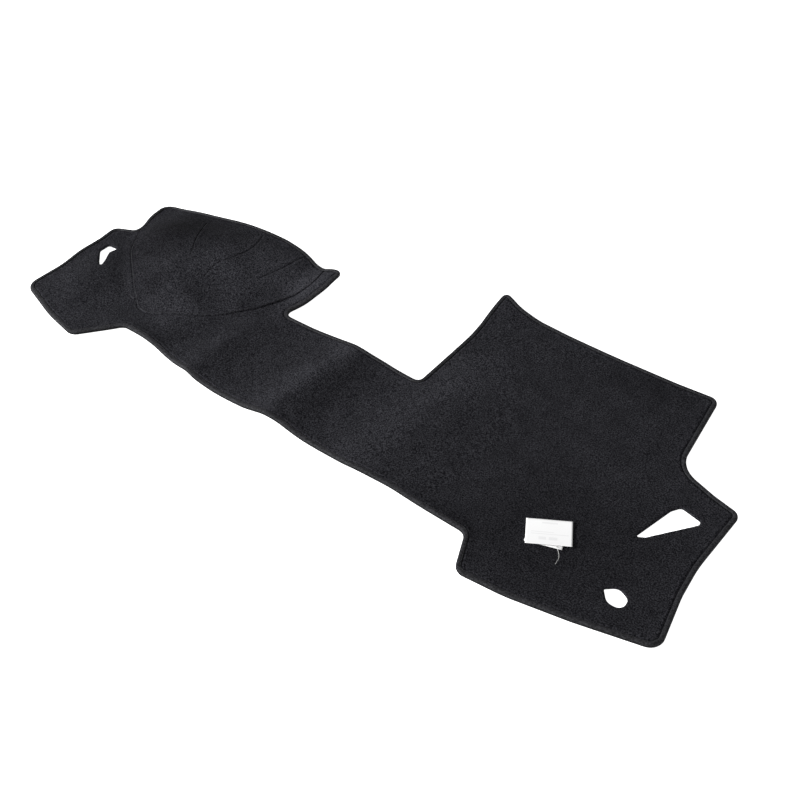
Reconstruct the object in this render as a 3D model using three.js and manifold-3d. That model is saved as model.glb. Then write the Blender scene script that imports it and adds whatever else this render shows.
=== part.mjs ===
// Dashboard cover mat: pile carpet cut to the plan of a dashboard top, with a domed hood sewn in for the
// instruments, a tape bound round the whole edge, three plain cut openings and a care label.
// Millimetres. +X runs to the passenger end, +Y to the cabin, +Z up. The mat lies loose on a flat surface.
import * as THREE from "three";
import { mergeVertices } from "three/addons/utils/BufferGeometryUtils.js";
import Module from "manifold-3d";

const wasm = await Module();
wasm.setup();

// Sheet and edge tape
const carpetThickness = 5.0;
const tapeThickness = 1.1;
const tapeWidth = 8.5;
const tapeClearance = 0.8;
const tapeFoldDepth = 2.0;
const tapeFoldFullness = 0.58;
const tapeFoldShoulder = 0.4;
const tapeBorderDrop = 0.2;
const rimClearance = 0.9;
const seamClearance = 0.4;

// Folds that run across the mat: place of the crest, height, and how far each one reaches
const footSwell = { x: -395, y: -205, height: 8, left: 80, right: 75, across: 130 };
const sharpFold = { x: -262, y: -190, height: 10, left: 45, right: 75, across: 190 };
const mainFold = { x: -95, y: -140, height: 16, left: 80, right: 85, across: 300 };
const lowSwell = { x: 150, y: -150, height: 8, left: 125, right: 170, across: 330 };
const endSwell = { x: -622, y: -195, height: 12, left: 105, right: 105, across: 140 };

// Instrument hood: a dome over a three-cornered base that falls a little towards its free cabin edge
const hoodX = -478;
const hoodY = -10;
const hoodHeight = 62;
const hoodLeft = 205;
const hoodRight = 208;
const hoodDepth = 178;
const hoodCornering = 1.5;
const hoodSteepness = 1.3;
const hoodFall = 0.42;
const hoodFallLength = 140;
const hoodTopRounding = 0.02;
const hoodFootY = hoodY - hoodDepth;
const hoodDent = { x: -392, y: -74, depth: 9, reachX: 75, reachY: 60 };

// Lip beside the hood, raised corner of the passenger panel, and the lifted strip along its cabin edge
const lipHeight = 26;
const lipStartY = -10;
const lipLength = 140;
const lipInnerX = -310;
const lipWidth = 75;
const lipOuterX = -190;
const lipOuterFade = 30;
const earHeight = 16;
const earReach = 100;
const earX = 50;
const earY = 300;
const creaseX = 85;
const creaseY = 152;
const creaseTurn = 0.36;
const creaseLift = 3.5;
const creaseReach = 110;
const creaseEndX = 330;
const creaseFade = 200;

// Care label, in two leaves, and the pin that holds them
const leafWidth = 75;
const leafDepth = 54;
const leafThickness = 0.4;
const leafX = 471.5;
const leafY = -138;
const leafTurn = 0.61;
const leafLift = 1.4;
const backLeafWidth = 62;
const backLeafDepth = 44;
const backLeafX = -4.2;
const backLeafY = -5.5;
const backLeafTurn = -0.22;
const backLeafLift = 1;
const layerClearance = 0.4;
const pinDiameter = 0.9;
const pinHeldLength = 6;
const pinFreeLength = 37;
const pinX = 11;
const pinHump = 3;

// Fineness of the surfaces: how far apart the sheet's grid lines are, and up to where
const sheetMargin = 16;
const columnSpans = [
  { to: -190, pitch: 12 },
  { to: 330, pitch: 24 },
  { to: Infinity, pitch: 90 },
];
const rowSpans = [
  { to: 160, pitch: 16 },
  { to: Infinity, pitch: 28 },
];
const longestArcStep = 28;
const arcTurn = 0.4;
const chordError = 0.2;
const shortestStep = 8;
const longestStep = 48;

// Heights of the layers above the resting plane, worked out from the sheet and the tape
const carpetUnderside = tapeThickness + tapeClearance;
const carpetTop = carpetUnderside + carpetThickness;
const middleHeight = carpetUnderside + carpetThickness / 2;
const carpetInset = tapeThickness + tapeClearance + rimClearance;

// Outer edge, anticlockwise from the hood's left corner: x, y and the radius that rounds the corner
const outerEdge = [
  // driver's end lobe
  [-703, 83, 28],
  [-693, 24, 120],
  [-668, -24, 15],
  [-717, -51, 20],
  [-711, -96, 60],
  [-710, -146, 120],
  [-694, -206, 120],
  [-694, -290, 28],
  [-592, -317, 300],
  [-509, -328, 22],
  [-452, -246, 18],
  // windscreen edge of the middle strip
  [-363, -247, 160],
  [-236, -261, 120],
  [-110, -257, 160],
  [-40, -244, 160],
  [123, -242, 300],
  [212, -229, 300],
  [368, -224, 20],
  // windscreen edge of the passenger panel
  [406, -297, 22],
  [494, -284, 300],
  [600, -256, 400],
  [731, -214, 26],
  // passenger end
  [700, -105, 200],
  [688, -40, 300],
  [680, 101, 17],
  [626, 110, 150],
  [547, 131, 62],
  [508, 321, 18],
  // cabin edge of the passenger panel
  [428, 309, 400],
  [316, 298, 500],
  [200, 288, 500],
  [92, 284, 90],
  [43, 298, 10],
  // cabin edge of the middle strip
  [50, 229, 300],
  [60, 170, 300],
  [75, 3, 10],
  [-4, 3, 200],
  [-253, -19, 15],
  // free edge of the lip and of the hood
  [-238, 30, 90],
  [-229, 80, 90],
  [-229, 125, 10],
  [-277, 124, 60],
  [-336, 135, 150],
  [-386, 130, 200],
  [-462, 112, 300],
  [-542, 91, 300],
  [-637, 85, 200],
];

// Seam round the foot of the hood, from the left notch to the lip: x, y and corner radius
// It starts and ends off the mat.
const hoodSeam = [
  [-730, 40, 0],
  [-669, -16, 60],
  [-624, hoodFootY + 103, 120],
  [-521, hoodFootY + 25, 200],
  [-452, hoodFootY - 18, 50],
  [-341, hoodFootY + 75, 200],
  [-290, -38, 150],
  [-270, 40, 200],
  [-262, 84, 120],
  [-274, 126, 40],
  [-290, 170, 0],
];

// Openings: x, y and corner radius
const sideVentOpening = [
  [576, -52, 3],
  [591, -41, 6],
  [641, 38, 4],
  [638, 48, 5],
  [598, 54, 7],
  [589, 37, 16],
];
const roundSensorOpening = [
  [600, -171, 3],
  [617, -154, 14],
  [642, -163, 15],
  [646, -189, 15],
  [620, -192, 18],
];
const pillarOpening = [
  [-620, -166, 3],
  [-637, -139, 30],
  [-656, -114, 10],
  [-655, -93, 3],
  [-680, -95, 5],
  [-677, -121, 14],
  [-646, -147, 30],
];

// Smooth hump of height 1 at t = 0 that ends at t = 1 and t = -1.
function hump(t) {
  return Math.abs(t) < 1 ? (1 - t * t) ** 2 : 0;
}

// Smooth step from 0 at t = 0 to 1 at t = 1.
function ramp(t) {
  const s = THREE.MathUtils.clamp(t, 0, 1);
  return s * s * (3 - 2 * s);
}

function foldHeight(fold, x, y) {
  const reach = x < fold.x ? fold.left : fold.right;
  return fold.height * hump((x - fold.x) / reach) * hump((y - fold.y) / fold.across);
}

function domeHeight(x, y) {
  const across = Math.hypot((x - hoodX) / (x < hoodX ? hoodLeft : hoodRight), hoodTopRounding);
  const along = Math.hypot(Math.min(y - hoodY, 0) / hoodDepth, hoodTopRounding);
  const outness = (across ** hoodCornering + along ** hoodCornering) ** (1 / hoodCornering);
  const dome = Math.max(1 - outness ** 2, 0) ** hoodSteepness;
  const fall = 1 - hoodFall * ramp((y - hoodY) / hoodFallLength);
  const dent = Math.hypot((x - hoodDent.x) / hoodDent.reachX, (y - hoodDent.y) / hoodDent.reachY);
  return hoodHeight * dome * fall - hoodDent.depth * hump(dent);
}

function lipRise(x, y) {
  const along = ramp((y - lipStartY) / lipLength);
  return lipHeight * along * ramp((x - lipInnerX) / lipWidth) * ramp((lipOuterX - x) / lipOuterFade);
}

function cabinStripRise(x, y) {
  const past = (y - creaseY) * Math.cos(creaseTurn) - (x - creaseX) * Math.sin(creaseTurn);
  return creaseLift * ramp(past / creaseReach) * ramp((creaseEndX - x) / creaseFade);
}

// Height of the tape's underside above the resting plane at a point of the mat.
function relief(x, y) {
  const folds = [footSwell, sharpFold, mainFold, lowSwell, endSwell];
  const folded = folds.reduce((sum, fold) => sum + foldHeight(fold, x, y), 0);
  const ear = earHeight * hump(Math.hypot(x - earX, y - earY) / earReach);
  return folded + domeHeight(x, y) + lipRise(x, y) + ear + cabinStripRise(x, y);
}

// Points of one corner rounded by an arc that touches both of its sides.
function roundedCorner(before, corner, after, radius) {
  const back = before.clone().sub(corner);
  const on = after.clone().sub(corner);
  const half = Math.acos(THREE.MathUtils.clamp(back.dot(on) / (back.length() * on.length()), -1, 1)) / 2;
  const touch = Math.min(radius / Math.tan(half), 0.48 * back.length(), 0.48 * on.length());
  if (touch < 0.1) return [corner];
  const arcRadius = touch * Math.tan(half);
  const turn = Math.PI - 2 * half;
  const steps = Math.max(1, Math.ceil(turn / arcTurn), Math.ceil((turn * arcRadius) / longestArcStep));
  const inward = back.clone().normalize().add(on.clone().normalize()).normalize();
  const centre = corner.clone().addScaledVector(inward, touch / Math.cos(half));
  const start = corner.clone().addScaledVector(back.normalize(), touch).sub(centre);
  const clockwise = back.cross(on) > 0 ? -1 : 1;
  return Array.from({ length: steps + 1 }, (_, i) =>
    start.clone().rotateAround(new THREE.Vector2(), (clockwise * turn * i) / steps).add(centre),
  );
}

function roundedLoop(corners) {
  const places = corners.map(([x, y]) => new THREE.Vector2(x, y));
  const count = corners.length;
  return places.flatMap((place, i) =>
    roundedCorner(places[(i + count - 1) % count], place, places[(i + 1) % count], corners[i][2]),
  );
}

function roundedLine(corners) {
  const places = corners.map(([x, y]) => new THREE.Vector2(x, y));
  return places.flatMap((place, i) =>
    i === 0 || i === places.length - 1
      ? [place]
      : roundedCorner(places[i - 1], place, places[i + 1], corners[i][2]),
  );
}

// Splits a side of the outline until its chords lie close to the relief.
function splitSide(a, b) {
  const length = a.distanceTo(b);
  const heights = [0, 0.25, 0.5, 0.75, 1].map((t) => relief(a.x + (b.x - a.x) * t, a.y + (b.y - a.y) * t));
  const rise = (heights[4] - heights[0]) / 4;
  const errors = [1, 2, 3].map((i) => Math.abs(heights[i] - heights[0] - rise * i));
  const smooth = Math.max(...errors) < chordError && length < longestStep;
  if (smooth || length < shortestStep * 2) return [a];
  const middle = a.clone().lerp(b, 0.5);
  return [...splitSide(a, middle), ...splitSide(middle, b)];
}

// The loop moved inward, to its left as it runs anticlockwise.
function movedLoop(loop, distance) {
  return loop.map((point, i) => {
    const before = point.clone().sub(loop[(i + loop.length - 1) % loop.length]).normalize();
    const after = loop[(i + 1) % loop.length].clone().sub(point).normalize();
    const inward = new THREE.Vector2(-before.y - after.y, before.x + after.x).normalize();
    const widening = Math.max(inward.dot(new THREE.Vector2(-after.y, after.x)), 0.5);
    return point.clone().addScaledVector(inward, distance / widening);
  });
}

function toSolid(geometry) {
  const bare = geometry.clone();
  bare.deleteAttribute("normal");
  bare.deleteAttribute("uv");
  bare.clearGroups();
  const merged = mergeVertices(bare, 1e-4);
  return new wasm.Manifold(
    new wasm.Mesh({
      numProp: 3,
      vertProperties: new Float32Array(merged.attributes.position.array),
      triVerts: new Uint32Array(merged.index.array),
    }),
  );
}

function toGeometry(solid) {
  const { vertProperties, triVerts } = solid.getMesh();
  const geometry = new THREE.BufferGeometry();
  geometry.setAttribute("position", new THREE.BufferAttribute(vertProperties, 3));
  geometry.setIndex(new THREE.BufferAttribute(triVerts, 1));
  geometry.computeVertexNormals();
  return geometry;
}

// Upright block over an outline, tall enough to cut through the whole mat.
function cutter(points) {
  const reach = hoodHeight + carpetTop + 40;
  const shape = new THREE.Shape(points);
  const geometry = new THREE.ExtrudeGeometry(shape, { depth: 2 * reach, bevelEnabled: false });
  geometry.translate(0, 0, -reach);
  return toSolid(geometry);
}

// Places of the grid lines between two ends, with each span's own pitch.
function gridLines(from, to, spans) {
  const lines = [from];
  spans.forEach((span) => {
    const start = lines[lines.length - 1];
    const end = Math.min(span.to, to);
    const steps = Math.max(0, Math.ceil((end - start) / span.pitch));
    for (let i = 1; i <= steps; i += 1) lines.push(start + ((end - start) * i) / steps);
  });
  return lines;
}

// Flat slab over a box in plan, cut into a grid and lifted to follow the relief.
function reliefSlab(box) {
  const columns = gridLines(box.min.x, box.max.x, columnSpans);
  const rows = gridLines(box.min.y, box.max.y, rowSpans);
  const slab = new THREE.BoxGeometry(1, 1, carpetThickness, columns.length - 1, rows.length - 1, 1);
  const place = slab.attributes.position;
  for (let i = 0; i < place.count; i += 1) {
    const x = columns[Math.round((place.getX(i) + 0.5) * (columns.length - 1))];
    const y = rows[Math.round((place.getY(i) + 0.5) * (rows.length - 1))];
    place.setXYZ(i, x, y, place.getZ(i) + middleHeight + relief(x, y));
  }
  return toSolid(slab);
}

// Everything on the hood's side of its seam, with the seam moved sideways by a distance.
function hoodSide(distance) {
  const seam = roundedLine(hoodSeam);
  const moved = seam.map((point, i) => {
    const along = seam[Math.min(i + 1, seam.length - 1)].clone().sub(seam[Math.max(i - 1, 0)]).normalize();
    return point.clone().add(new THREE.Vector2(-along.y, along.x).multiplyScalar(distance));
  });
  const clearOfMat = 400;
  const first = moved[0];
  const last = moved[moved.length - 1];
  return [...moved, new THREE.Vector2(last.x, clearOfMat), new THREE.Vector2(first.x, clearOfMat)];
}

// Edge tape: one folded strip that runs round the loop and holds the carpet's rim in its fold.
function tapeGeometry(loop) {
  const half = carpetThickness / 2 + tapeClearance + tapeThickness;
  const inner = half - tapeThickness;
  const section = [
    [tapeWidth, half - tapeBorderDrop],
    [tapeFoldDepth, half],
    [tapeFoldShoulder, half * tapeFoldFullness],
    [0, 0],
    [tapeFoldShoulder, -half * tapeFoldFullness],
    [tapeFoldDepth, -half],
    [tapeWidth, tapeBorderDrop - half],
    [tapeWidth, -inner],
    [tapeThickness + tapeClearance, -inner],
    [tapeThickness + tapeClearance, inner],
    [tapeWidth, inner],
  ];
  const rails = section.map(([inset]) => movedLoop(loop, inset));
  const places = [];
  loop.forEach((_, station) => {
    section.forEach(([, height], k) => {
      const { x, y } = rails[k][station];
      places.push(x, y, middleHeight + relief(x, y) + height);
    });
  });
  const faces = [];
  const around = section.length;
  loop.forEach((_, station) => {
    const here = station * around;
    const next = ((station + 1) % loop.length) * around;
    section.forEach((_corner, k) => {
      const up = (k + 1) % around;
      faces.push(here + k, next + up, next + k, here + k, here + up, next + up);
    });
  });
  const geometry = new THREE.BufferGeometry();
  geometry.setAttribute("position", new THREE.Float32BufferAttribute(places, 3));
  geometry.setIndex(faces);
  geometry.computeVertexNormals();
  return geometry;
}

// How far the front leaf is bowed up at a distance from its middle line.
function leafBow(y) {
  return leafLift * (y / (leafDepth / 2)) ** 2;
}

// One leaf of the care label, bowed so that its near and far edges lift off the pile.
function leafGeometry(width, depth, lift) {
  const leaf = new THREE.BoxGeometry(width, depth, leafThickness, 1, 8, 1);
  const place = leaf.attributes.position;
  for (let i = 0; i < place.count; i += 1) {
    place.setZ(i, place.getZ(i) + lift * (place.getY(i) / (depth / 2)) ** 2);
  }
  return leaf;
}

// Round pin that starts between the leaves and runs out over the pile.
function pinGeometry() {
  const edge = leafDepth / 2;
  const bowAt = (inset) => leafBow(edge - inset) - leafBow(edge);
  const route = new THREE.CatmullRomCurve3([
    new THREE.Vector3(-2, pinHeldLength, bowAt(pinHeldLength)),
    new THREE.Vector3(-1, pinHeldLength / 2, bowAt(pinHeldLength / 2)),
    new THREE.Vector3(0, 0, 0),
    new THREE.Vector3(4, -0.35 * pinFreeLength, pinHump),
    new THREE.Vector3(5.5, -0.7 * pinFreeLength, 0.6 * pinHump),
    new THREE.Vector3(0.5, -pinFreeLength, -leafLift),
  ]);
  const circle = new THREE.Path().absarc(0, 0, pinDiameter / 2, 0, 2 * Math.PI);
  const section = new THREE.Shape(circle.getPoints(4));
  return new THREE.ExtrudeGeometry(section, { steps: 18, extrudePath: route, bevelEnabled: false });
}

const pile = new THREE.MeshStandardMaterial({ color: 0x232326, roughness: 0.96, metalness: 0 });
const hoodPile = new THREE.MeshStandardMaterial({ color: 0x222225, roughness: 0.96, metalness: 0 });
const tape = new THREE.MeshStandardMaterial({ color: 0x2b2b2e, roughness: 0.8, metalness: 0 });
const paper = new THREE.MeshStandardMaterial({ color: 0xf4f4f2, roughness: 0.75, metalness: 0 });
const clearPlastic = new THREE.MeshStandardMaterial({ color: 0xe9e9e6, roughness: 0.4, metalness: 0 });

function named(name, geometry, material) {
  const mesh = new THREE.Mesh(geometry, material);
  mesh.name = name;
  return mesh;
}

const rounded = roundedLoop(outerEdge);
const edgeLoop = rounded.flatMap((point, i) => splitSide(point, rounded[(i + 1) % rounded.length]));
const cutLoop = movedLoop(edgeLoop, carpetInset);
const planBox = new THREE.Box2().setFromPoints(edgeLoop).expandByScalar(sheetMargin);
const openings = [sideVentOpening, roundSensorOpening, pillarOpening];
const sheet = openings.reduce(
  (left, opening) => left.subtract(cutter(roundedLoop(opening))),
  reliefSlab(planBox).intersect(cutter(cutLoop)),
);
const carpet = sheet.subtract(cutter(hoodSide(-seamClearance / 2)));
const hood = sheet.intersect(cutter(hoodSide(seamClearance / 2)));

const mat = new THREE.Group();
mat.add(named("carpet_panel", toGeometry(carpet), pile));
mat.add(named("instrument_hood", toGeometry(hood), hoodPile));
mat.add(named("edge_tape", tapeGeometry(edgeLoop), tape));

// The label's group stands on the pile, turned to the label's own lie.
const label = new THREE.Group();
label.position.set(leafX, leafY, carpetTop + relief(leafX, leafY));
label.rotation.z = leafTurn;
const backLeafGeometry = leafGeometry(backLeafWidth, backLeafDepth, backLeafLift);
const backLeaf = named("label_back_leaf", backLeafGeometry, paper);
backLeaf.position.set(backLeafX, backLeafY, layerClearance + leafThickness / 2);
backLeaf.rotation.z = backLeafTurn;
// The pin crosses over the back leaf where it leaves the label, and the front leaf lies on the pin.
const backLeafTop = layerClearance + leafThickness + backLeafLift;
const pinHeight = backLeafTop + layerClearance + pinDiameter / 2;
const frontLeaf = named("label_front_leaf", leafGeometry(leafWidth, leafDepth, leafLift), paper);
frontLeaf.position.z = pinHeight + pinDiameter / 2 + layerClearance + leafThickness / 2 - leafLift;
const pin = named("label_pin", pinGeometry(), clearPlastic);
pin.position.set(pinX, -leafDepth / 2, pinHeight);
label.add(backLeaf, frontLeaf, pin);
mat.add(label);

// The origin is the centre of the mat's plan on the resting plane.
const extent = new THREE.Box3().setFromObject(mat);
const middle = extent.getCenter(new THREE.Vector3());
mat.position.set(-middle.x, -middle.y, -extent.min.z);

export default mat;
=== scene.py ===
import bpy
import cmath
import math
import numpy as np
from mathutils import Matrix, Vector, noise
from mathutils.geometry import delaunay_2d_cdt
from mathutils.kdtree import KDTree


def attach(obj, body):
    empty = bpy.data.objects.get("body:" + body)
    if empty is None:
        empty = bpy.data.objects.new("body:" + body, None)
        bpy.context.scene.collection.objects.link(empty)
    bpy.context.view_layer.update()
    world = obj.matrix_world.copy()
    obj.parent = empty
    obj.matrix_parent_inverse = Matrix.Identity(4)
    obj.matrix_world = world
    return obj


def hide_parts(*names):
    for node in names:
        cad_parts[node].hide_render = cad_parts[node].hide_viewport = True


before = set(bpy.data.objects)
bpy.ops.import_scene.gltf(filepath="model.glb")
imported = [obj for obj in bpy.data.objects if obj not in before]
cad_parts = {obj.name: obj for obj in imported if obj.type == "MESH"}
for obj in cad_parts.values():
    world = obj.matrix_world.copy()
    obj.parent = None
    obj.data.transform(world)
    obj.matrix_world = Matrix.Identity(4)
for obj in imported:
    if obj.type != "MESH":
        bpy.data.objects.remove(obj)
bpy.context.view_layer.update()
scene = bpy.context.scene


# Camera
# A tripod camera in front of the mat's right half, looking down on it from above the edge.
camera_lens = bpy.data.cameras.new("camera")
camera_lens.sensor_width = 36
camera_lens.lens = 58.5
camera_lens.clip_end = 60
camera = bpy.data.objects.new("camera", camera_lens)
camera.location = (1.21556, -1.33987, 1.55475)
camera.rotation_euler = (math.radians(48), 0, math.radians(41.49))
scene.collection.objects.link(camera)
scene.camera = camera


# Studio
# One wide soft light stands low in front at the left, a pale room fills the rest, and the floor is a
# white sweep that glows, so that no shadow shows on it.
def new_material(name):
    material = bpy.data.materials.new(name)
    material.use_nodes = True
    return material, material.node_tree


def add_node(tree, kind, settings=None, **values):
    node = tree.nodes.new(kind)
    for setting, value in (settings or {}).items():
        setattr(node, setting, value)
    for socket, value in values.items():
        place = int(socket[1:]) if socket[0] == "i" and socket[1:].isdigit() else socket.replace("_", " ")
        if isinstance(value, bpy.types.NodeSocket):
            tree.links.new(value, node.inputs[place])
        else:
            node.inputs[place].default_value = value
    return node


key_size = 2.6
key_x = -3.5
key_y = -4.1
key_height = 2.7
key_watts = 640
key_shape = bpy.data.lights.new("key", "AREA")
key_shape.shape = "DISK"
key_shape.size = key_size
key_shape.energy = key_watts
key_light = bpy.data.objects.new("key", key_shape)
key_light.location = (key_x, key_y, key_height)
key_light.rotation_euler = (-key_light.location).to_track_quat("-Z", "Y").to_euler()
scene.collection.objects.link(key_light)

room = bpy.data.worlds.new("room")
room.use_nodes = True
room.node_tree.nodes["Background"].inputs["Color"].default_value = (1.0, 1.0, 1.0, 1)
room.node_tree.nodes["Background"].inputs["Strength"].default_value = 0.34
scene.world = room
scene.view_settings.view_transform = "Standard"

floor_half = 12
floor_mesh = bpy.data.meshes.new("floor")
floor_mesh.from_pydata(
    [(-floor_half, -floor_half, 0), (floor_half, -floor_half, 0), (floor_half, floor_half, 0),
     (-floor_half, floor_half, 0)],
    [],
    [(0, 1, 2, 3)],
)
floor = bpy.data.objects.new("floor", floor_mesh)
scene.collection.objects.link(floor)
floor_material, tree = new_material("white_sweep")
shader = tree.nodes["Principled BSDF"]
shader.inputs["Base Color"].default_value = (0.9, 0.9, 0.9, 1)
shader.inputs["Roughness"].default_value = 0.8
shader.inputs["Emission Color"].default_value = (1, 1, 1, 1)
shader.inputs["Emission Strength"].default_value = 1.0
floor_mesh.materials.append(floor_material)


# Carpet panel
# The main panel of the mat: short brushed polyester pile on a thin non-woven backing, cut to the dashboard's
# outline, with plain cut openings for the vents and sensors. It lies on the floor in the soft swells that
# its folding in the box has left, and its left end is sewn to the hood along a curved seam.
MM = 0.001

middle_height = 4.4
pile_rise = 2.9
backing_drop = 2.5
rim_inset = 2.8
grid_pitch = 6.0

outer_edge = [
    (-703, 83, 28), (-693, 24, 120), (-668, -24, 15), (-717, -51, 20), (-711, -96, 60),
    (-710, -146, 120), (-694, -206, 120), (-694, -290, 28), (-592, -317, 300), (-509, -328, 22),
    (-452, -246, 18), (-363, -247, 160), (-236, -261, 120), (-110, -257, 160), (-40, -244, 160),
    (123, -242, 300), (212, -229, 300), (368, -224, 20), (406, -297, 22), (494, -284, 300),
    (600, -256, 400), (731, -214, 26), (700, -105, 200), (688, -40, 300), (680, 101, 17),
    (626, 110, 150), (547, 131, 62), (508, 321, 18), (428, 309, 400), (316, 298, 500),
    (200, 288, 500), (92, 284, 90), (43, 298, 10), (50, 229, 300), (60, 170, 300),
    (75, 3, 10), (-4, 3, 200), (-253, -19, 15), (-238, 30, 90), (-229, 80, 90),
    (-229, 125, 10), (-277, 124, 60), (-336, 135, 150), (-386, 130, 200), (-462, 112, 300),
    (-542, 91, 300), (-637, 85, 200),
]
hood_seam = [
    (-730, 40, 0), (-669, -16, 60), (-624, -85, 120), (-521, -163, 200), (-452, -206, 50),
    (-341, -113, 200), (-290, -38, 150), (-270, 40, 200), (-262, 84, 120), (-274, 126, 40), (-290, 170, 0),
]
side_vent_opening = [
    (576, -52, 3), (591, -41, 6), (641, 38, 4), (638, 48, 5), (598, 54, 7), (589, 37, 16),
]
round_sensor_opening = [(600, -171, 3), (617, -154, 14), (642, -163, 15), (646, -189, 15), (620, -192, 18)]
pillar_opening = [
    (-620, -166, 3), (-637, -139, 30), (-656, -114, 10), (-655, -93, 3), (-680, -95, 5),
    (-677, -121, 14), (-646, -147, 30),
]

# Folds are (x, y, height, reach left, reach right, reach across, sharpness of the crest), in millimetres.
folds = [
    (-395, -205, 8, 80, 75, 130, 0.3),
    (-262, -190, 10, 50, 75, 190, 0.7),
    (-70, -140, 17, 120, 95, 300, 0.75),
    (140, -150, 9, 115, 150, 330, 0.6),
    (-622, -195, 12, 105, 105, 140, 0.0),
]

# The hood is a dome that falls away to the cabin edge and dips beside the middle dart.
dome_x = -478
dome_y = -10
dome_left = 205
dome_right = 208
dome_front = 178
dome_height = 62
dome_squareness = 1.5
dome_fullness = 1.3
dome_fall = 0.42
dome_fall_reach = 140
crest_slope = 0.25
crest_slope_x = -420
dip_x = -392
dip_y = -74
dip_depth = 9
dip_across = 75
dip_along = 60

# The hood ends in a raised lip, and the panel's far left corner and a crease beside it stand up a little.
lip_height = 26
lip_inner_x = -310
lip_width = 75
lip_outer_x = -190
lip_fade = 30
corner_x = 50
corner_y = 300
corner_lift = 16
corner_reach = 100
crease_x = 85
crease_y = 152
crease_turn = 0.36
crease_lift = 3.5
crease_reach = 110
crease_end_x = 330
crease_fade = 200

# Painted light and shade on the folds and the hood: a mark with a positive gain lightens the pile's colour as
# light, one with a negative gain darkens it as shade; each mark is (x, y, reach left, reach right, reach
# across, gain).
painted_light_marks = [
    (-565, -10, 150, 140, 190, -0.6),
    (-322, 42, 130, 110, 105, 1.0),
    (-430, -25, 45, 45, 60, 0.2),
    (-385, -160, 60, 60, 60, 0.4),
    (-490, -145, 45, 45, 45, -0.3),
    (-400, -245, 70, 80, 40, -0.4),
    (-82, -130, 60, 35, 330, 0.3),
    (-78, -15, 60, 45, 70, 0.35),
    (125, -110, 90, 80, 330, 0.25),
    (110, 70, 80, 140, 120, 0.35),
    (-20, -165, 30, 40, 110, -0.15),
    (-60, -90, 30, 22, 170, 0.2),
    (470, -140, 240, 290, 210, -0.28),
    (325, -225, 110, 110, 50, -0.28),
    (400, 270, 110, 110, 70, -0.2),
]


# Painted light and shade: the gain that these marks give the pile's colour at each place.
def painted_light_gain(place):
    gain = np.ones(np.shape(place))
    for x, y, left, right, across, strength in painted_light_marks:
        spot = place - complex(x, y)
        reach = np.where(spot.real < 0, left, right)
        gain = gain + strength * hump(spot.real / reach) * hump(spot.imag / across)
    return gain


def hump(t):
    return np.where(np.abs(t) < 1, (1 - t * t) ** 2, 0.0)


def crest(t, sharpness):
    rounded = np.minimum(np.hypot(t, 0.08) - 0.02, 1)
    return (1 - sharpness) * hump(t) + sharpness * (1 - rounded) ** 2


def ramp(t):
    t = np.clip(t, 0, 1)
    return t * t * (3 - 2 * t)


# Places in plan are complex numbers in millimetres, x + y i, so that a turn is one product.
def relief(place):
    x = np.real(place)
    y = np.imag(place)
    height = np.zeros(np.shape(x))
    for fold_x, fold_y, fold_height, left, right, across, sharpness in folds:
        reach = np.where(x < fold_x, left, right)
        height = height + fold_height * crest((x - fold_x) / reach, sharpness) * hump((y - fold_y) / across)
    side = np.where(x < dome_x, dome_left, dome_right)
    crest_y = dome_y + crest_slope * np.clip(x - crest_slope_x, -200, 100)
    outness_x = np.hypot((x - dome_x) / side, 0.02) ** dome_squareness
    outness_y = np.hypot(np.minimum(y - dome_y, 0) / dome_front, 0.02) ** dome_squareness
    outness = (outness_x + outness_y) ** (1 / dome_squareness)
    dome = np.maximum(1 - outness**2, 0) ** dome_fullness
    height = height + dome_height * dome * (1 - dome_fall * ramp((y - crest_y) / dome_fall_reach))
    height = height - dip_depth * hump(np.hypot((x - dip_x) / dip_across, (y - dip_y) / dip_along))
    lip_start = ramp((y - dome_y) / dome_fall_reach)
    lip = ramp((x - lip_inner_x) / lip_width) * ramp((lip_outer_x - x) / lip_fade)
    height = height + lip_height * lip_start * lip
    height = height + corner_lift * hump(np.hypot(x - corner_x, y - corner_y) / corner_reach)
    past = (y - crease_y) * math.cos(crease_turn) - (x - crease_x) * math.sin(crease_turn)
    crease = ramp(past / crease_reach) * ramp((crease_end_x - x) / crease_fade)
    return height + crease_lift * crease


def rounded_corner(before, corner, after, radius):
    back = before - corner
    on = after - corner
    half = abs(cmath.phase(on / back)) / 2
    touch = min(radius / math.tan(half), 0.48 * abs(back), 0.48 * abs(on))
    if touch < 0.1:
        return [corner]
    turn = math.pi - 2 * half
    steps = max(3, math.ceil(turn * touch * math.tan(half) / 3))
    inward = back / abs(back) + on / abs(on)
    centre = corner + inward / abs(inward) * touch / math.cos(half)
    start = corner + back / abs(back) * touch - centre
    way = -1 if (np.conj(back) * on).imag > 0 else 1
    return [centre + start * cmath.exp(1j * way * turn * i / steps) for i in range(steps + 1)]


def even_line(places, step, closed):
    line = np.array(places + places[:1] if closed else places)
    along = np.concatenate([[0], np.cumsum(np.abs(np.diff(line)))])
    count = max(2, round(along[-1] / step))
    stations = np.linspace(0, along[-1], count + 1)
    even = np.interp(stations, along, line.real) + 1j * np.interp(stations, along, line.imag)
    return even[:-1] if closed else even


def rounded_loop(corners, step):
    places = [complex(x, y) for x, y, _ in corners]
    count = len(places)
    line = []
    for i, (_, _, radius) in enumerate(corners):
        line += rounded_corner(places[i - 1], places[i], places[(i + 1) % count], radius)
    return even_line(line, step, True)


def rounded_line(corners, step):
    places = [complex(x, y) for x, y, _ in corners]
    line = [places[0]]
    for i in range(1, len(places) - 1):
        line += rounded_corner(places[i - 1], places[i], places[i + 1], corners[i][2])
    return even_line(line + [places[-1]], step, False)


def left_normals(line, closed):
    if closed:
        way = np.roll(line, -1) - np.roll(line, 1)
    else:
        way = np.gradient(line)
    return 1j * way / np.abs(way)


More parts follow.
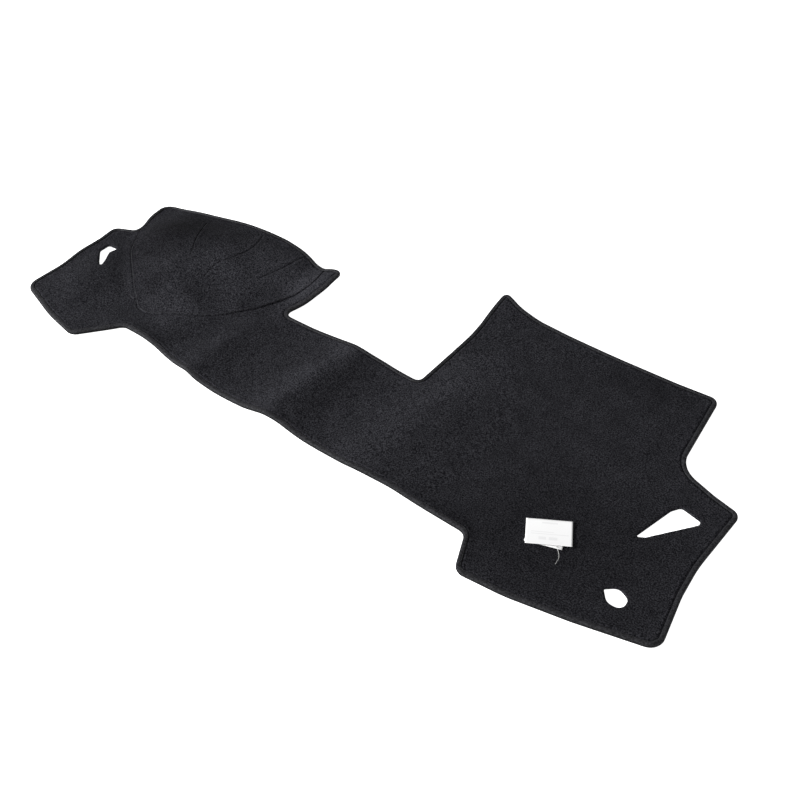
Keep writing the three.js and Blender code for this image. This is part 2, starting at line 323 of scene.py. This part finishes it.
def nearest_on(places, line):
    tree = KDTree(len(line))
    for i, spot in enumerate(line):
        tree.insert((spot.real, spot.imag, 0), i)
    tree.balance()
    found = [tree.find((p.real, p.imag, 0)) for p in places]
    return np.array([f[1] for f in found]), np.array([f[2] for f in found])


def distances(places, line):
    return nearest_on(places, line)[1]


def seam_distances(places):
    spots, gaps = nearest_on(places, fine_seam)
    left = (np.conj(left_normals(fine_seam, False)[spots]) * (places - fine_seam[spots])).real
    return gaps, left > 0


edge = rounded_loop(outer_edge, 4.0)
edge_inward = left_normals(edge, True)
fine_edge = rounded_loop(outer_edge, 1.0)
rim = edge + rim_inset * edge_inward
seam = rounded_line(hood_seam, 4.0)
seam_left = left_normals(seam, False)
fine_seam = rounded_line(hood_seam, 1.0)
opening_loops = [rounded_loop(o, 3.0) for o in (side_vent_opening, round_sensor_opening, pillar_opening)]
fine_openings = np.concatenate(
    [rounded_loop(o, 1.0) for o in (side_vent_opening, round_sensor_opening, pillar_opening)]
)
plan_centre = complex(
    (edge.real.min() + edge.real.max()) / 2,
    (edge.imag.min() + edge.imag.max()) / 2,
)

dart_corners = [
    [(-541, 54, 0), (-523, 30, 60), (-475, -41, 60), (-466, -55, 0)],
    [(-422, 94, 0), (-409, 70, 60), (-398, 33, 60), (-404, -13, 60), (-416, -40, 60), (-415, -70, 0)],
    [(-322, 142, 0), (-333, 111, 60), (-331, 62, 60), (-338, 3, 0)],
]
darts = [rounded_line(corners, 3.0) for corners in dart_corners]
fine_darts = np.concatenate([even_line(list(dart), 1.0, False) for dart in darts])

# The sheet is one triangle net over the whole mat, with closer rows beside edges, seam and darts.
columns = np.arange(edge.real.min(), edge.real.max(), grid_pitch)
rows = np.arange(edge.imag.min(), edge.imag.max(), grid_pitch * 0.87)
net = np.array([complex(x + grid_pitch / 2 * (j % 2), y) for j, y in enumerate(rows) for x in columns])
edge_distance = distances(net, fine_edge)
edge_rows = (7.0, 8.4, 9.6, 11.0, 13.0, 16.0, 20.0)
seam_rows = (1.0, 2.2, 3.8)
opening_rows = (1.2, 2.6, 4.5)
close_rows = [edge + d * edge_inward for d in edge_rows]
for d in seam_rows:
    close_rows += [seam + d * seam_left, seam - d * seam_left]
    close_rows += [dart + d * left_normals(dart, False) for dart in darts]
    close_rows += [dart - d * left_normals(dart, False) for dart in darts]
close_rows += darts
for loop in opening_loops:
    outward = -left_normals(loop, True) * np.sign(np.sum((np.conj(loop) * np.roll(loop, -1)).imag))
    close_rows += [loop + d * outward for d in opening_rows]
beside = np.concatenate(close_rows)

net_edge_gap = 23
net_line_gap = 5.5
row_edge_gap = 6.6
row_opening_gap = 1.0
row_seam_gap = 0.8
guides = np.concatenate([fine_seam, fine_openings, fine_darts])
net = net[(edge_distance > net_edge_gap) & (distances(net, guides) > net_line_gap)]
beside = beside[distances(beside, fine_edge) > row_edge_gap]
beside = beside[distances(beside, fine_openings) > row_opening_gap]
beside = beside[distances(beside, fine_seam) > row_seam_gap]
loose = np.concatenate([net, beside])

lines = [(rim, True), (seam, False)] + [(loop, True) for loop in opening_loops]
corners = []
sides = []
for line, closed in lines:
    first = len(corners)
    corners += [Vector((p.real, p.imag)) for p in line]
    sides += [(first + i, first + i + 1) for i in range(len(line) - 1)]
    if closed:
        sides.append((first + len(line) - 1, first))
corners += [Vector((p.real, p.imag)) for p in loose]
net_places, net_sides, net_faces, _, side_sources, _ = delaunay_2d_cdt(corners, sides, [], 0, 0.05)
net_places = np.array([complex(p.x, p.y) for p in net_places])

# A flood from one face each takes in the panel and the hood, and stops at the rim, the openings and the seam.
fences = {frozenset(side) for side, source in zip(net_sides, side_sources) if source}
neighbours = {}
for number, face in enumerate(net_faces):
    for i in range(3):
        neighbours.setdefault(frozenset((face[i], face[i - 1])), []).append(number)
face_centres = np.array([np.mean(net_places[list(face)]) for face in net_faces])


def flooded(start):
    first = int(np.argmin(np.abs(face_centres - start)))
    taken = {first}
    queue = [first]
    while queue:
        face = net_faces[queue.pop()]
        for i in range(3):
            side = frozenset((face[i], face[i - 1]))
            if side not in fences:
                fresh = [n for n in neighbours[side] if n not in taken]
                taken.update(fresh)
                queue += fresh
    return [net_faces[n] for n in sorted(taken)]


from_edge = distances(net_places, fine_edge)
from_seam, on_hood = seam_distances(net_places)
from_dart = distances(net_places, fine_darts)
from_opening = distances(net_places, fine_openings)


# Dents and swells in the pile are (middle, reach, height), by the distance from the line that they follow.
tape_swell = (12.5, 2.6, 0.9)
tape_dent = (9.2, 1.1, -1.1)
seam_swell = (2.6, 1.9, 1.1)
seam_dent = (0, 1.2, -1.2)
seam_sink = (0, 4, -0.5)
dart_dent = (0, 1.4, -1.1)
dart_swell = (3.0, 1.6, 0.5)
opening_bevel = (0, 1.5, -1.3)
tuck_start = 8.6
tuck_reach = 1.5
tuck_depth = 0.9
broad_step = 16
broad_height = 0.45
fine_step = 6
fine_height = 0.3


def bell(gap, form):
    middle, reach, height = form
    return height * np.exp(-(((gap - middle) / reach) ** 2))


def pile_top(place, edge_gap, seam_gap, hood_side, dart_gap, opening_gap):
    height = pile_rise + bell(edge_gap, tape_swell) + bell(edge_gap, tape_dent)
    height = height - tuck_depth * ramp((tuck_start - edge_gap) / tuck_reach)
    height = height + np.where(hood_side, bell(seam_gap, seam_swell), bell(seam_gap, seam_sink))
    height = height + bell(seam_gap, seam_dent) + bell(dart_gap, dart_dent) + bell(dart_gap, dart_swell)
    height = height + bell(opening_gap, opening_bevel)
    broad = np.array([noise.noise((p.real / broad_step, p.imag / broad_step, 0)) for p in place])
    fine = np.array([noise.noise((p.real / fine_step, p.imag / fine_step, 7)) for p in place])
    return middle_height + relief(place) + height + broad_height * broad + fine_height * fine


top_heights = pile_top(net_places, from_edge, from_seam, on_hood, from_dart, from_opening)
backing_heights = middle_height + relief(net_places) - backing_drop


def cloth_object(name, faces, seam_side, materials):
    used = sorted({corner for face in faces for corner in face})
    number = {corner: i for i, corner in enumerate(used)}
    places = net_places[used].copy()
    spots, gaps = nearest_on(places, fine_seam)
    places += np.where(gaps < 0.3, 0.02 * seam_side * left_normals(fine_seam, False)[spots], 0)
    moved = places - plan_centre
    points = [(p.real * MM, p.imag * MM, top_heights[c] * MM) for p, c in zip(moved, used)]
    points += [(p.real * MM, p.imag * MM, backing_heights[c] * MM) for p, c in zip(moved, used)]
    count = len(used)
    top = []
    borders = {}
    for face in faces:
        a, b, c = (number[corner] for corner in face)
        if (np.conj(places[b] - places[a]) * (places[c] - places[a])).imag < 0:
            b, c = c, b
        top.append((a, b, c))
        for side in ((a, b), (b, c), (c, a)):
            if side[::-1] in borders:
                borders.pop(side[::-1])
            else:
                borders[side] = True
    walls = [(a, a + count, b + count, b) for a, b in borders]
    bottom = [(c + count, b + count, a + count) for a, b, c in top]
    mesh = bpy.data.meshes.new(name)
    mesh.from_pydata(points, [], top + walls + bottom)
    for material in materials:
        mesh.materials.append(material)
    finish = [0] * (len(top) + len(walls)) + [1] * len(bottom)
    mesh.polygons.foreach_set("material_index", finish)
    mesh.polygons.foreach_set("use_smooth", [True] * len(finish))
    # Besides the seam distance, each point carries the painted light and shade gain for the pile's colour.
    for title, values in (("seam_gap", np.minimum(from_seam, from_dart)), ("painted_light_gain", painted_light_gain(net_places))):
        field = mesh.attributes.new(title, "FLOAT", "POINT")
        field.data.foreach_set("value", [min(v, 100) for v in list(values[used]) * 2])
    mesh.validate()
    piece = bpy.data.objects.new(name, mesh)
    scene.collection.objects.link(piece)
    return piece


def pile_material(name, shift, dark, light):
    material, tree = new_material(name)
    shader = tree.nodes["Principled BSDF"]
    place = add_node(tree, "ShaderNodeTexCoord").outputs["Object"]
    moved = add_node(tree, "ShaderNodeVectorMath", {"operation": "ADD"}, i0=place, i1=shift).outputs[0]
    tufts = add_node(
        tree, "ShaderNodeTexNoise", Vector=moved, Scale=430.0, Detail=3.0, Roughness=0.75
    ).outputs["Fac"]
    broad = add_node(tree, "ShaderNodeTexNoise", Vector=moved, Scale=26.0, Detail=3.0).outputs["Fac"]
    speckle = add_node(
        tree, "ShaderNodeMapRange", Value=tufts, From_Min=0.405, From_Max=0.62, To_Min=0.0, To_Max=1.0
    ).outputs[0]
    patch = add_node(
        tree, "ShaderNodeMapRange", Value=broad, From_Min=0.3, From_Max=0.7, To_Min=0.88, To_Max=1.12
    ).outputs[0]
    colour = add_node(
        tree, "ShaderNodeMix", {"data_type": "RGBA"}, i0=speckle, i6=dark, i7=light
    ).outputs[2]
    # Painted shade: the pile's colour is darkened by up to 15 % within 1.8 mm of the seam and the darts, as
    # shade in their grooves.
    seam_gap = add_node(tree, "ShaderNodeAttribute", {"attribute_name": "seam_gap"}).outputs["Fac"]
    groove_shade = add_node(
        tree, "ShaderNodeMapRange", Value=seam_gap, From_Min=0.2, From_Max=1.8, To_Min=0.85, To_Max=1.0
    ).outputs[0]
    # Painted light and shade: the pile's colour is multiplied by the gain from the marks.
    painted_light_factor = add_node(tree, "ShaderNodeAttribute", {"attribute_name": "painted_light_gain"}).outputs["Fac"]
    patch_and_painted_light = add_node(tree, "ShaderNodeMath", {"operation": "MULTIPLY"}, i0=patch, i1=painted_light_factor).outputs[0]
    tone = add_node(tree, "ShaderNodeMath", {"operation": "MULTIPLY"}, i0=patch_and_painted_light, i1=groove_shade).outputs[0]
    shaded = add_node(
        tree, "ShaderNodeVectorMath", {"operation": "SCALE"}, i0=colour, Scale=tone
    ).outputs[0]
    tree.links.new(shaded, shader.inputs["Base Color"])
    fibre = add_node(tree, "ShaderNodeTexNoise", Vector=moved, Scale=900.0, Detail=3.0).outputs["Fac"]
    clumps = add_node(tree, "ShaderNodeTexNoise", Vector=moved, Scale=140.0, Detail=2.0).outputs["Fac"]
    fine_bump = add_node(tree, "ShaderNodeBump", Strength=0.7, Distance=0.0006, Height=fibre).outputs[0]
    tuft_bump = add_node(
        tree, "ShaderNodeBump", Strength=0.9, Distance=0.0018, Height=tufts, Normal=fine_bump
    ).outputs[0]
    clump_bump = add_node(
        tree, "ShaderNodeBump", Strength=0.2, Distance=0.002, Height=clumps, Normal=tuft_bump
    ).outputs[0]
    tree.links.new(clump_bump, shader.inputs["Normal"])
    # The specular level follows the tone, so the painted light and shade reach it as well.
    gloss = add_node(tree, "ShaderNodeMath", {"operation": "MULTIPLY"}, i0=tone, i1=0.04).outputs[0]
    tree.links.new(gloss, shader.inputs["Specular IOR Level"])
    shader.inputs["Roughness"].default_value = 0.95
    return material


backing, tree = new_material("nonwoven_backing")
shader = tree.nodes["Principled BSDF"]
place = add_node(tree, "ShaderNodeTexCoord").outputs["Object"]
web = add_node(tree, "ShaderNodeTexVoronoi", Vector=place, Scale=420.0).outputs["Distance"]
tone = add_node(
    tree,
    "ShaderNodeMix",
    {"data_type": "RGBA"},
    i0=web,
    i6=(0.012, 0.012, 0.014, 1),
    i7=(0.032, 0.032, 0.035, 1),
).outputs[2]
tree.links.new(tone, shader.inputs["Base Color"])
web_bump = add_node(tree, "ShaderNodeBump", Strength=0.5, Distance=0.0004, Height=web).outputs[0]
tree.links.new(web_bump, shader.inputs["Normal"])
shader.inputs["Roughness"].default_value = 0.85

pile_dark = (0.0025, 0.0025, 0.0037, 1)
pile_light = (0.0435, 0.0436, 0.0498, 1)
panel_pile = pile_material("panel_pile", (0.0, 0.0, 0.0), pile_dark, pile_light)
panel_faces = flooded(complex(0, -100))
panel = cloth_object("carpet_panel_cloth", panel_faces, -1, [panel_pile, backing])
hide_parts("carpet_panel")
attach(panel, "root")


# Instrument hood
# The raised cover over the instrument panel, of the same pile carpet: three darts pull its flat cut into
# a shallow dome, and the curved seam joins it to the main panel.
hood_pile = pile_material("hood_pile", (3.1, 1.7, 0.4), pile_dark, pile_light)
hood_faces = flooded(complex(-440, 40))
hood = cloth_object("instrument_hood_cloth", hood_faces, 1, [hood_pile, backing])
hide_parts("instrument_hood")
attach(hood, "root")


# Edge tape
# One length of black binding tape, folded over the whole cut edge and sewn through near its inner border.
# It is close woven with fine ribs across, and its under half carries painted shade, darker towards the floor.
# Each corner of the folded section is (distance in from the edge, height over the carpet's middle).
tape_section = [
    (8.5, 3.0), (7.9, 3.6), (6.6, 4.1), (5.0, 4.4), (3.2, 4.35), (1.8, 4.0), (0.8, 3.1), (0.2, 1.7),
    (0.0, 0.0),
    (0.2, -1.7), (0.8, -3.1), (1.8, -4.0), (3.2, -4.35), (5.0, -4.4), (6.6, -4.4), (8.5, -4.2),
    (8.5, -3.0), (2.3, -2.9), (2.1, 0.0), (2.3, 3.0), (5.5, 3.1), (8.2, 2.4),
]
count = len(edge)
around = len(tape_section)
rails = [edge + inset * edge_inward for inset, _ in tape_section]
tape_points = []
for station in range(count):
    for rail, (inset, height) in zip(rails, tape_section):
        place = rail[station]
        rise = middle_height + float(relief(place)) + height
        place = place - plan_centre
        tape_points.append((place.real * MM, place.imag * MM, rise * MM))
tape_faces = []
for station in range(count):
    here = station * around
    after = (station + 1) % count * around
    for k in range(around):
        up = (k + 1) % around
        tape_faces.append((here + k, here + up, after + up, after + k))
tape_mesh = bpy.data.meshes.new("edge_tape_cloth")
tape_mesh.from_pydata(tape_points, [], tape_faces)
tape_mesh.polygons.foreach_set("use_smooth", [True] * len(tape_faces))
weave = tape_mesh.uv_layers.new(name="weave")
edge_step = float(np.mean(np.abs(np.diff(edge))))
section_steps = [abs(complex(*tape_section[k]) - complex(*tape_section[k - 1])) for k in range(around)]
across = np.cumsum(section_steps)
weave_places = []
for station in range(count):
    for k in range(around):
        up = (k + 1) % around
        high = across[up] if up else across[-1] + section_steps[0]
        near = station * edge_step
        far = near + edge_step
        weave_places += [near, across[k], near, high, far, high, far, across[k]]
weave.data.foreach_set("uv", np.array(weave_places))

tape_cloth, tree = new_material("binding_tape")
shader = tree.nodes["Principled BSDF"]
woven = add_node(tree, "ShaderNodeUVMap", {"uv_map": "weave"}).outputs[0]
ribs = add_node(
    tree, "ShaderNodeTexWave", {"bands_direction": "X"}, Vector=woven, Scale=0.42, Distortion=0.8, Detail=2.0
).outputs["Fac"]
object_place = add_node(tree, "ShaderNodeTexCoord").outputs["Object"]
wear = add_node(tree, "ShaderNodeTexNoise", Vector=object_place, Scale=400.0, Detail=3.0).outputs["Fac"]
mixed = add_node(tree, "ShaderNodeMath", {"operation": "MULTIPLY"}, i0=ribs, i1=wear).outputs[0]
worn = add_node(
    tree, "ShaderNodeMapRange", Value=wear, From_Min=0.38, From_Max=0.64, To_Min=0.0, To_Max=1.0
).outputs[0]
woven_tone = add_node(
    tree,
    "ShaderNodeMix",
    {"data_type": "RGBA"},
    i0=worn,
    i6=(0.007, 0.007, 0.008, 1),
    i7=(0.036, 0.036, 0.04, 1),
).outputs[2]
across_tape = add_node(tree, "ShaderNodeSeparateXYZ", Vector=woven).outputs["Y"]
# Painted shade: the tape's colour darkens from its outer edge round to its under half, down to a quarter,
# towards the floor.
under_half_shade = add_node(
    tree, "ShaderNodeMapRange", Value=across_tape, From_Min=8.5, From_Max=13.0, To_Min=1.0, To_Max=0.25
).outputs[0]
tone = add_node(tree, "ShaderNodeVectorMath", {"operation": "SCALE"}, i0=woven_tone, Scale=under_half_shade).outputs[0]
tree.links.new(tone, shader.inputs["Base Color"])
rib_bump = add_node(tree, "ShaderNodeBump", Strength=0.5, Distance=0.0003, Height=mixed).outputs[0]
tree.links.new(rib_bump, shader.inputs["Normal"])
shader.inputs["Roughness"].default_value = 0.72
# The specular level falls with the same painted shade.
gloss = add_node(tree, "ShaderNodeMath", {"operation": "MULTIPLY"}, i0=under_half_shade, i1=0.12).outputs[0]
tree.links.new(gloss, shader.inputs["Specular IOR Level"])
tape_mesh.materials.append(tape_cloth)
tape = bpy.data.objects.new("edge_tape_cloth", tape_mesh)
scene.collection.objects.link(tape)
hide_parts("edge_tape")
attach(tape, "root")


# Stitching
# Black polyester thread in lockstitch: one row holds the tape, one row runs beside the hood's seam and
# one along each dart. Each stitch is a short bead of thread pressed into the cloth.
thread_pitch = 3.6
thread_length = 2.8
thread_width = 0.55

stitches = bpy.data.node_groups.new("stitches", "GeometryNodeTree")
stitches.interface.new_socket("Geometry", in_out="INPUT", socket_type="NodeSocketGeometry")
pitch_socket = stitches.interface.new_socket("Pitch", in_out="INPUT", socket_type="NodeSocketFloat")
length_socket = stitches.interface.new_socket("Stitch Length", in_out="INPUT", socket_type="NodeSocketFloat")
width_socket = stitches.interface.new_socket("Thread Width", in_out="INPUT", socket_type="NodeSocketFloat")
thread_socket = stitches.interface.new_socket("Thread", in_out="INPUT", socket_type="NodeSocketMaterial")
stitches.interface.new_socket("Geometry", in_out="OUTPUT", socket_type="NodeSocketGeometry")
group_in = add_node(stitches, "NodeGroupInput").outputs
route = add_node(stitches, "GeometryNodeMeshToCurve", Mesh=group_in["Geometry"]).outputs["Curve"]
spaced = add_node(
    stitches, "GeometryNodeResampleCurve", {"mode": "LENGTH"}, Curve=route, Length=group_in["Pitch"]
).outputs["Curve"]
bead = add_node(stitches, "GeometryNodeMeshUVSphere", Segments=6, Rings=5, Radius=0.5).outputs["Mesh"]
tangent = add_node(stitches, "GeometryNodeInputTangent").outputs[0]
turned = add_node(
    stitches, "FunctionNodeAlignRotationToVector", {"axis": "Z"}, Vector=tangent
).outputs["Rotation"]
bead_size = add_node(
    stitches,
    "ShaderNodeCombineXYZ",
    X=group_in["Thread Width"],
    Y=group_in["Thread Width"],
    Z=group_in["Stitch Length"],
).outputs[0]
beads = add_node(
    stitches, "GeometryNodeInstanceOnPoints", Points=spaced, Instance=bead, Rotation=turned, Scale=bead_size
).outputs["Instances"]
made = add_node(stitches, "GeometryNodeRealizeInstances", Geometry=beads).outputs["Geometry"]
threaded = add_node(
    stitches, "GeometryNodeSetMaterial", Geometry=made, Material=group_in["Thread"]
).outputs["Geometry"]
add_node(stitches, "NodeGroupOutput", Geometry=threaded)

thread, tree = new_material("thread")
shader = tree.nodes["Principled BSDF"]
place = add_node(tree, "ShaderNodeTexCoord").outputs["Object"]
twist = add_node(tree, "ShaderNodeTexNoise", Vector=place, Scale=1600.0, Detail=2.0).outputs["Fac"]
tone = add_node(
    tree,
    "ShaderNodeMix",
    {"data_type": "RGBA"},
    i0=twist,
    i6=(0.006, 0.006, 0.007, 1),
    i7=(0.03, 0.03, 0.034, 1),
).outputs[2]
tree.links.new(tone, shader.inputs["Base Color"])
twist_bump = add_node(tree, "ShaderNodeBump", Strength=0.5, Distance=0.0002, Height=twist).outputs[0]
tree.links.new(twist_bump, shader.inputs["Normal"])
shader.inputs["Roughness"].default_value = 0.5


def stitch_row(name, places, heights, closed):
    moved = places - plan_centre
    points = [(p.real * MM, p.imag * MM, h * MM) for p, h in zip(moved, heights)]
    links = [(i, i + 1) for i in range(len(points) - 1)]
    if closed:
        links.append((len(points) - 1, 0))
    path = bpy.data.meshes.new(name)
    path.from_pydata(points, links, [])
    row = bpy.data.objects.new(name, path)
    scene.collection.objects.link(row)
    maker = row.modifiers.new("stitches", "NODES")
    maker.node_group = stitches
    maker[pitch_socket.identifier] = thread_pitch * MM
    maker[length_socket.identifier] = thread_length * MM
    maker[width_socket.identifier] = thread_width * MM
    maker[thread_socket.identifier] = thread
    evaluated = row.evaluated_get(bpy.context.evaluated_depsgraph_get())
    sewn = bpy.data.meshes.new_from_object(evaluated)
    row.modifiers.clear()
    row.data = sewn
    sewn.name = name
    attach(row, "root")
    return row


tape_row_inset = 7.3
tape_row_rise = 3.85
seam_row_gap = 2.4
seam_row_edge_gap = 9
seam_row_start_x = -690
seam_row_end_y = 120
tape_row = edge + tape_row_inset * edge_inward
tape_row_heights = middle_height + relief(tape_row) + tape_row_rise
tape_stitches = stitch_row("tape_stitches", tape_row, tape_row_heights, True)
seam_inside = seam[distances(seam, fine_edge) > seam_row_edge_gap]
seam_inside = seam_inside[(seam_inside.real > seam_row_start_x) & (seam_inside.imag < seam_row_end_y)]


def surface_heights(places):
    return pile_top(
        places,
        distances(places, fine_edge),
        *seam_distances(places),
        distances(places, fine_darts),
        distances(places, fine_openings),
    )


seam_row = seam_inside + seam_row_gap * left_normals(seam_inside, False)
seam_stitches = stitch_row("seam_stitches", seam_row, surface_heights(seam_row) + 0.1, False)
for number, dart in enumerate(darts):
    stitch_row(f"dart_stitches_{number + 1}", dart, surface_heights(dart) + 0.2, False)


# Label
# A folded care label of smooth white stock: two leaves, the back one smaller and turned a little, so that
# it shows at the front edge, where a milky plastic pin holds them. The front leaf's print is only plain grey
# bars;
# the back leaf has one grey bar near its front edge.
front_width = 75
front_depth = 54
front_lift = 1.4
back_width = 62
back_depth = 44
back_lift = 1.0
back_place = complex(-4.2, -5.5)
back_turn = -0.22
leaf_thickness = 0.4
layer_gap = 0.4
pin_radius = 0.45
leaf_turn = 0.61
label_place = complex(471.5, -138)
label_height = middle_height + 2.5 + float(relief(label_place)) + 0.6
pin_height = layer_gap + leaf_thickness + back_lift + layer_gap + pin_radius
front_height = pin_height + pin_radius + layer_gap + leaf_thickness / 2 - front_lift


def to_mat(x, y, z):
    spot = label_place + complex(x, y) * cmath.exp(1j * leaf_turn) - plan_centre
    return (spot.real * MM, spot.imag * MM, (label_height + z) * MM)


def leaf(name, width, depth, lift, middle, turn, height, material):
    across = 30
    deep = 20
    points = []
    for side in (0.5, -0.5):
        for j in range(deep + 1):
            for i in range(across + 1):
                x = width * (i / across - 0.5)
                y = depth * (j / deep - 0.5)
                rise = lift * (2 * y / depth) ** 2 + 0.2 * math.sin(x / 9 + height) * abs(y) / depth
                spot = middle + complex(x, y) * cmath.exp(1j * turn)
                points.append(to_mat(spot.real, spot.imag, height + rise + side * leaf_thickness))
    row = across + 1
    layer = row * (deep + 1)
    faces = []
    for j in range(deep):
        for i in range(across):
            a = j * row + i
            faces.append((a, a + 1, a + row + 1, a + row))
            faces.append((a + layer, a + layer + row, a + layer + row + 1, a + layer + 1))
    for i in range(across):
        faces.append((i, i + layer, i + layer + 1, i + 1))
        far = deep * row + i
        faces.append((far, far + 1, far + 1 + layer, far + layer))
    for j in range(deep):
        left = j * row
        faces.append((left, left + row, left + row + layer, left + layer))
        right = left + across
        faces.append((right, right + layer, right + layer + row, right + row))
    mesh = bpy.data.meshes.new(name)
    mesh.from_pydata(points, [], faces)
    mesh.materials.append(material)
    mesh.polygons.foreach_set("use_smooth", [k < 2 * across * deep for k in range(len(faces))])
    layout = mesh.uv_layers.new(name="print")
    for loop in mesh.loops:
        spot = loop.vertex_index % layer
        layout.data[loop.index].uv = (spot % row / across, spot // row / deep)
    piece = bpy.data.objects.new(name, mesh)
    scene.collection.objects.link(piece)
    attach(piece, "root")
    return piece


def paper_material(name, bars, strength):
    material, tree = new_material(name)
    shader = tree.nodes["Principled BSDF"]
    layout = add_node(tree, "ShaderNodeUVMap", {"uv_map": "print"}).outputs[0]
    parts = add_node(tree, "ShaderNodeSeparateXYZ", Vector=layout).outputs
    marks = None
    for left, right, low, high in bars:
        hit = None
        for value, line, way in (
            (parts["X"], left, "GREATER_THAN"),
            (parts["X"], right, "LESS_THAN"),
            (parts["Y"], low, "GREATER_THAN"),
            (parts["Y"], high, "LESS_THAN"),
        ):
            test = add_node(tree, "ShaderNodeMath", {"operation": way}, i0=value, i1=line).outputs[0]
            hit = test if hit is None else add_node(
                tree, "ShaderNodeMath", {"operation": "MULTIPLY"}, i0=hit, i1=test
            ).outputs[0]
        marks = hit if marks is None else add_node(
            tree, "ShaderNodeMath", {"operation": "MAXIMUM"}, i0=marks, i1=hit
        ).outputs[0]
    place = add_node(tree, "ShaderNodeTexCoord").outputs["Object"]
    grain = add_node(tree, "ShaderNodeTexNoise", Vector=place, Scale=900.0, Detail=3.0).outputs["Fac"]
    stock = add_node(
        tree,
        "ShaderNodeMix",
        {"data_type": "RGBA"},
        i0=grain,
        i6=(0.90, 0.90, 0.90, 1),
        i7=(0.97, 0.97, 0.97, 1),
    ).outputs[2]
    shade = add_node(tree, "ShaderNodeMath", {"operation": "MULTIPLY"}, i0=marks, i1=strength).outputs[0]
    stock_with_bars = add_node(
        tree, "ShaderNodeMix", {"data_type": "RGBA"}, i0=shade, i6=stock, i7=(0.35, 0.35, 0.36, 1)
    ).outputs[2]
    tree.links.new(stock_with_bars, shader.inputs["Base Color"])
    tree.links.new(
        add_node(tree, "ShaderNodeBump", Strength=0.15, Distance=0.0002, Height=grain).outputs[0],
        shader.inputs["Normal"],
    )
    shader.inputs["Roughness"].default_value = 0.6
    return material


front_bars = [
    (0.34, 0.68, 0.84, 0.90),
    (0.12, 0.60, 0.50, 0.53),
    (0.12, 0.92, 0.42, 0.45),
    (0.28, 0.44, 0.20, 0.32),
    (0.50, 0.68, 0.20, 0.32),
]
front_paper = paper_material("front_paper", front_bars, 0.14)
# The back leaf has one grey bar near its front edge, in its left part.
back_paper = paper_material("back_paper", [(0.2, 0.42, 0.03, 0.09)], 0.3)
back_leaf = leaf(
    "label_back_leaf_paper", back_width, back_depth, back_lift, back_place, back_turn, 0.6, back_paper
)
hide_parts("label_back_leaf")
front_leaf = leaf(
    "label_front_leaf_paper", front_width, front_depth, front_lift, 0, 0, front_height, front_paper
)
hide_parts("label_front_leaf")


# Label pin
# A thin moulded filament of milky plastic, thicker where it passes between the leaves and drawn out
# to a fine curved tip that rests on the pile.
def smooth_route(points, steps):
    ends = [2 * points[0] - points[1]] + points + [2 * points[-1] - points[-2]]
    route = []
    for i in range(1, len(ends) - 2):
        p0, p1, p2, p3 = ends[i - 1 : i + 3]
        pull = p2 - p0
        bend = 2 * p0 - 5 * p1 + 4 * p2 - p3
        twist = 3 * p1 - p0 - 3 * p2 + p3
        for k in range(steps):
            t = k / steps
            route.append(0.5 * (2 * p1 + pull * t + bend * t * t + twist * t**3))
    return route + [points[-1]]


pin_x = 11
edge_y = -front_depth / 2
held_bow = front_lift * (1 - 12 / front_depth) ** 2 - front_lift
pin_route = smooth_route(
    [
        Vector((pin_x - 2, edge_y + 6, pin_height + held_bow)),
        Vector((pin_x - 1, edge_y + 3, pin_height + held_bow / 2)),
        Vector((pin_x, edge_y, pin_height)),
        Vector((pin_x + 4, edge_y - 13, pin_height + 3)),
        Vector((pin_x + 5.5, edge_y - 26, pin_height + 1.8)),
        Vector((pin_x + 0.5, edge_y - 37, pin_height - 1.4)),
    ],
    8,
)
pin_sides = 10
pin_root_radius = 0.55
pin_tip_radius = 0.22
pin_points = []
for i, spot in enumerate(pin_route):
    ahead = pin_route[min(i + 1, len(pin_route) - 1)] - pin_route[max(i - 1, 0)]
    across = ahead.cross(Vector((0, 0, 1))).normalized()
    up = across.cross(ahead).normalized()
    radius = pin_root_radius + (pin_tip_radius - pin_root_radius) * i / (len(pin_route) - 1)
    for k in range(pin_sides):
        angle = 2 * math.pi * k / pin_sides
        pin_points.append(to_mat(*(spot + radius * (math.cos(angle) * across + math.sin(angle) * up))))
pin_faces = []
for i in range(len(pin_route) - 1):
    for k in range(pin_sides):
        near = i * pin_sides
        far = near + pin_sides
        after = (k + 1) % pin_sides
        pin_faces.append((near + k, near + after, far + after, far + k))
pin_faces.append(tuple(range(pin_sides))[::-1])
pin_faces.append(tuple(range(len(pin_points) - pin_sides, len(pin_points))))
pin_mesh = bpy.data.meshes.new("label_pin_plastic")
pin_mesh.from_pydata(pin_points, [], pin_faces)
pin_mesh.polygons.foreach_set("use_smooth", [True] * len(pin_faces))
milky, tree = new_material("milky_plastic")
shader = tree.nodes["Principled BSDF"]
place = add_node(tree, "ShaderNodeTexCoord").outputs["Object"]
flow = add_node(tree, "ShaderNodeTexNoise", Vector=place, Scale=300.0, Detail=2.0).outputs["Fac"]
tone = add_node(
    tree, "ShaderNodeMix", {"data_type": "RGBA"}, i0=flow, i6=(0.55, 0.55, 0.53, 1), i7=(0.75, 0.75, 0.73, 1)
).outputs[2]
tree.links.new(tone, shader.inputs["Base Color"])
shader.inputs["Roughness"].default_value = 0.35
pin_mesh.materials.append(milky)
pin = bpy.data.objects.new("label_pin_plastic", pin_mesh)
scene.collection.objects.link(pin)
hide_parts("label_pin")
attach(pin, "root")
